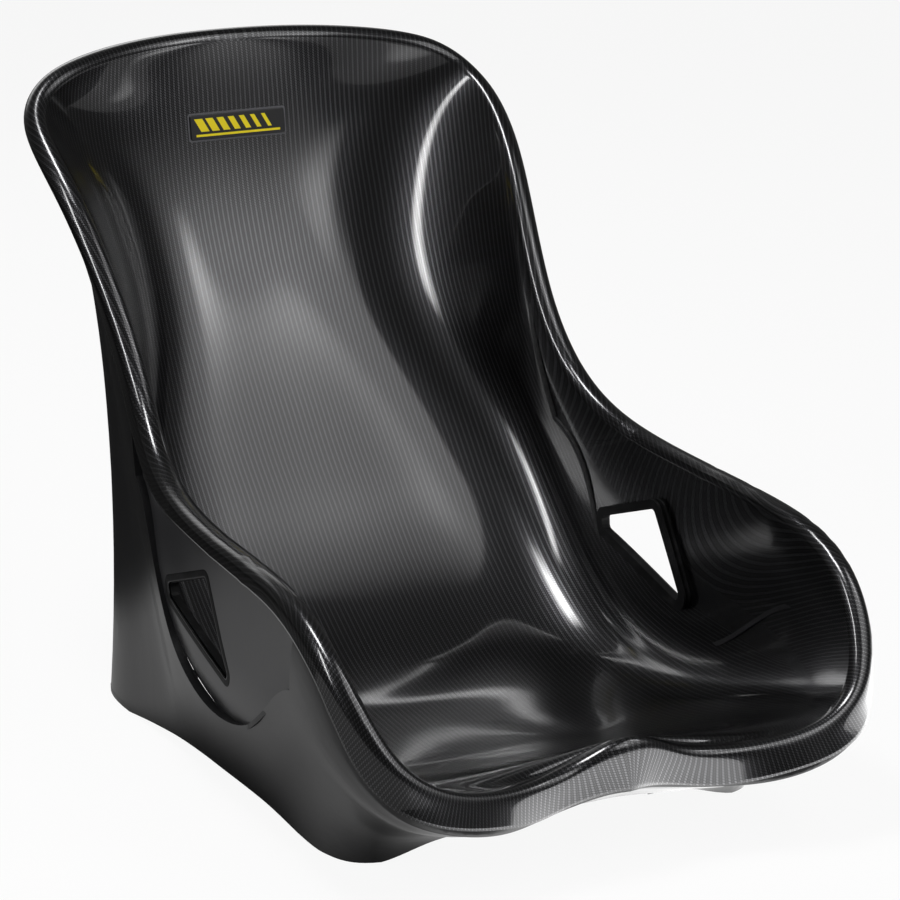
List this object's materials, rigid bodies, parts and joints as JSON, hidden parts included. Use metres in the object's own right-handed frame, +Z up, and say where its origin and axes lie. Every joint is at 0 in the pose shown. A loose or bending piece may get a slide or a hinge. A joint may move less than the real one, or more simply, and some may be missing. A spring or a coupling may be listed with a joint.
{
  "type": "racing seat",
  "caption": "Low-back bucket seat: a rolled-rim carbon inner shell in a moulded outer shell on four corner feet, with a belt slot in each side and threaded inserts underneath",
  "frame": {"origin": "under the middle of the overall outline, on the plane the four feet stand on", "axes": "+X to the sitter's left, +Y to the back of the seat, +Z up; the front lip faces -Y"},
  "size_m": [0.4921, 0.7692, 0.5647],
  "materials": {
    "inner_shell": "gloss clear coat over black carbon twill",
    "outer_shell": "semi-gloss black gel coat",
    "adhesive": "black structural adhesive",
    "slot_trim": "satin",
    "insert_plate": "zinc plated",
    "captive_nut": "zinc plated",
    "badge_plate": "gloss black",
    "badge_dome": "clear domed resin over black"
  },
  "bodies": {
    "root": {"inner_shell": "inner_shell", "outer_shell": "outer_shell", "rim_bond": "adhesive", "slot_trim_inner_left": "slot_trim", "slot_trim_inner_right": "slot_trim", "slot_trim_outer_left": "slot_trim", "slot_trim_outer_right": "slot_trim", "insert_plate_front_left": "insert_plate", "insert_plate_front_right": "insert_plate", "insert_plate_rear_left": "insert_plate", "insert_plate_rear_right": "insert_plate", "captive_nut_front_left": "captive_nut", "captive_nut_front_right": "captive_nut", "captive_nut_rear_left": "captive_nut", "captive_nut_rear_right": "captive_nut", "badge_plate": "badge_plate", "badge_dome": "badge_dome", "pod_bond_left": "adhesive", "pod_bond_right": "adhesive"}
  },
  "joints": []
}
